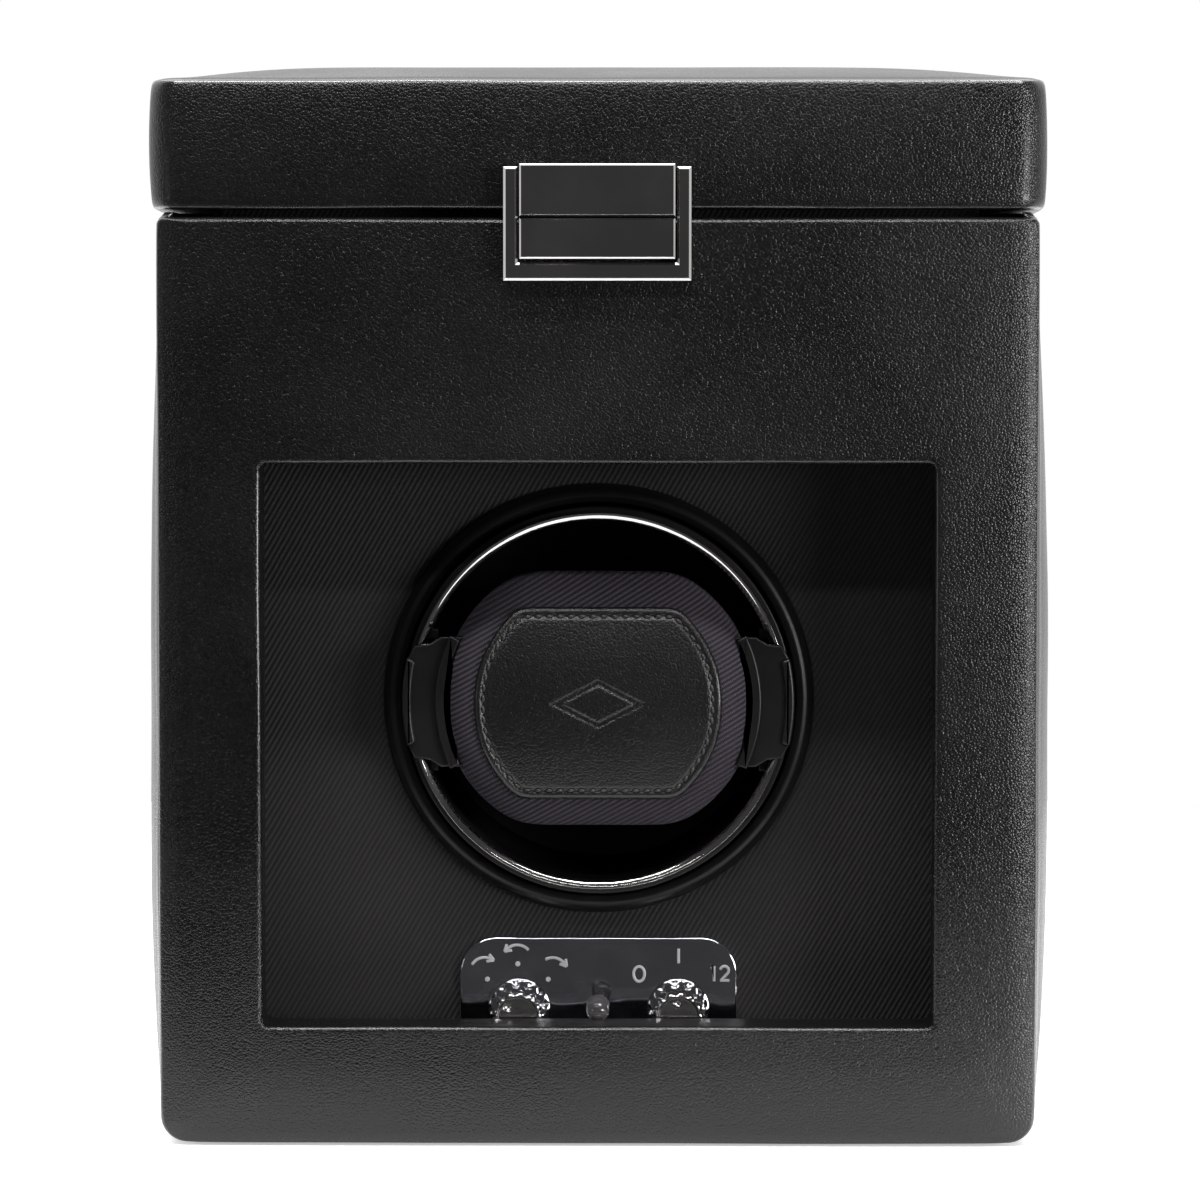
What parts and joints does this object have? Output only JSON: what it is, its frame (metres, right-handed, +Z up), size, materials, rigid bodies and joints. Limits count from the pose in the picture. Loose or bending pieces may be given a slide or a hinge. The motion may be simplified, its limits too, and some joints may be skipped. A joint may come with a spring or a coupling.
{
  "type": "watch winder box",
  "caption": "Leather-wrapped box with a padded hinged lid over a storage tray, a front window with a motor-turned drum and watch cuff, two rotary knobs and a chrome flap latch.",
  "frame": {"origin": "centre of the box's footprint, on the surface it stands on", "axes": "+Z up, front with the window faces -Y, +X to the right seen from the front"},
  "size_m": [0.2, 0.21, 0.235],
  "materials": {
    "case_leather": "fine pebble grain, satin",
    "patch_leather": "smooth satin",
    "lining_twill": "matt twill",
    "cushion_twill": "twill with a soft sheen",
    "padding_foam": "open-cell foam",
    "base_felt": "felt",
    "fibreboard": "raw fibreboard",
    "black_plastic": "satin moulded",
    "cover_plastic": "fine spark texture",
    "switch_plastic": "moulded",
    "clear_plastic": "clear polished",
    "chrome": "polished",
    "dark_chrome": "polished dark nickel",
    "hinge_steel": "satin nickel",
    "screw_steel": "zinc plated",
    "motor_steel": "drawn can",
    "magnet_steel": "nickel plated",
    "bush_bronze": "sintered",
    "belt_rubber": "matt",
    "circuit_board": "solder mask"
  },
  "bodies": {
    "case": {"base_pad": "base_felt", "base_board": "fibreboard", "side_board_left": "fibreboard", "side_board_right": "fibreboard", "front_board": "fibreboard", "back_board": "fibreboard", "mid_shelf": "fibreboard", "front_leather": "case_leather", "back_leather": "case_leather", "side_foam_left": "padding_foam", "side_foam_right": "padding_foam", "side_leather_left": "case_leather", "side_leather_right": "case_leather", "storage_liner": "lining_twill", "storage_dividers": "lining_twill", "storage_pillow_left": "cushion_twill", "storage_pillow_centre": "cushion_twill", "storage_pillow_right": "cushion_twill", "bay_lining": "lining_twill", "module_board": "lining_twill", "bezel_ring": "black_plastic", "drum_housing": "black_plastic", "module_screws": "screw_steel", "drum_bushes": "bush_bronze", "drive_belt": "belt_rubber", "gearmotor": "motor_steel", "motor_bracket": "motor_steel", "control_board": "circuit_board", "rotary_switches": "switch_plastic", "control_plate": "dark_chrome", "status_led": "clear_plastic", "dc_jack": "black_plastic", "rear_cover": "cover_plastic", "case_screws": "screw_steel", "hinge_body_leaves": "hinge_steel", "hinge_pins": "hinge_steel", "latch_frame": "chrome", "latch_magnet": "magnet_steel"},
    "lid": {"lid_board": "fibreboard", "lid_frame": "fibreboard", "lid_foam": "padding_foam", "lid_leather": "case_leather", "lid_lining": "lining_twill", "hinge_lid_leaves": "hinge_steel", "lid_screws": "screw_steel", "latch_plate": "chrome", "latch_pin": "chrome"},
    "latch_flap": {"latch_flap": "chrome"},
    "drum": {"drum_cup": "black_plastic", "chrome_ring": "chrome", "drum_shaft": "motor_steel", "drum_pulley": "switch_plastic"},
    "motor_pulley": {"motor_pulley": "bush_bronze"},
    "direction_knob": {"knob_direction": "chrome"},
    "power_knob": {"knob_power": "chrome"},
    "cuff": {"cuff_core": "black_plastic", "cuff_cap_left": "black_plastic", "cuff_cap_right": "black_plastic", "cuff_pillow": "cushion_twill", "cuff_patch": "patch_leather"}
  },
  "joints": [
    {"name": "lid_hinge", "type": "hinge", "parent": "case", "child": "lid", "pos_m": [0, 0.1025, 0.19935], "axis": [-1, 0, 0], "range_deg": [0, 100]},
    {"name": "latch_hinge", "type": "hinge", "parent": "lid", "child": "latch_flap", "pos_m": [0, -0.1038, 0.1971], "axis": [-1, 0, 0], "range_deg": [0, 80]},
    {"name": "drum_spin", "type": "hinge", "parent": "case", "child": "drum", "pos_m": [0, 0, 0.094], "axis": [0, -1, 0], "continuous": true},
    {"name": "motor_spin", "type": "hinge", "parent": "case", "child": "motor_pulley", "pos_m": [0.056, 0, 0.04], "axis": [0, -1, 0], "continuous": true},
    {"name": "cuff_slide", "type": "slide", "parent": "drum", "child": "cuff", "axis": [0, -1, 0], "range_m": [0, 0.11]},
    {"name": "direction_turn", "type": "hinge", "parent": "case", "child": "direction_knob", "pos_m": [-0.0175, 0, 0.0254], "axis": [0, 1, 0], "range_deg": [0, 90]},
    {"name": "power_turn", "type": "hinge", "parent": "case", "child": "power_knob", "pos_m": [0.0175, 0, 0.0254], "axis": [0, 1, 0], "range_deg": [-48, 48]}
  ],
  "couplings": [
    {"joint": "motor_spin", "follows": "drum_spin", "ratio": 4}
  ]
}
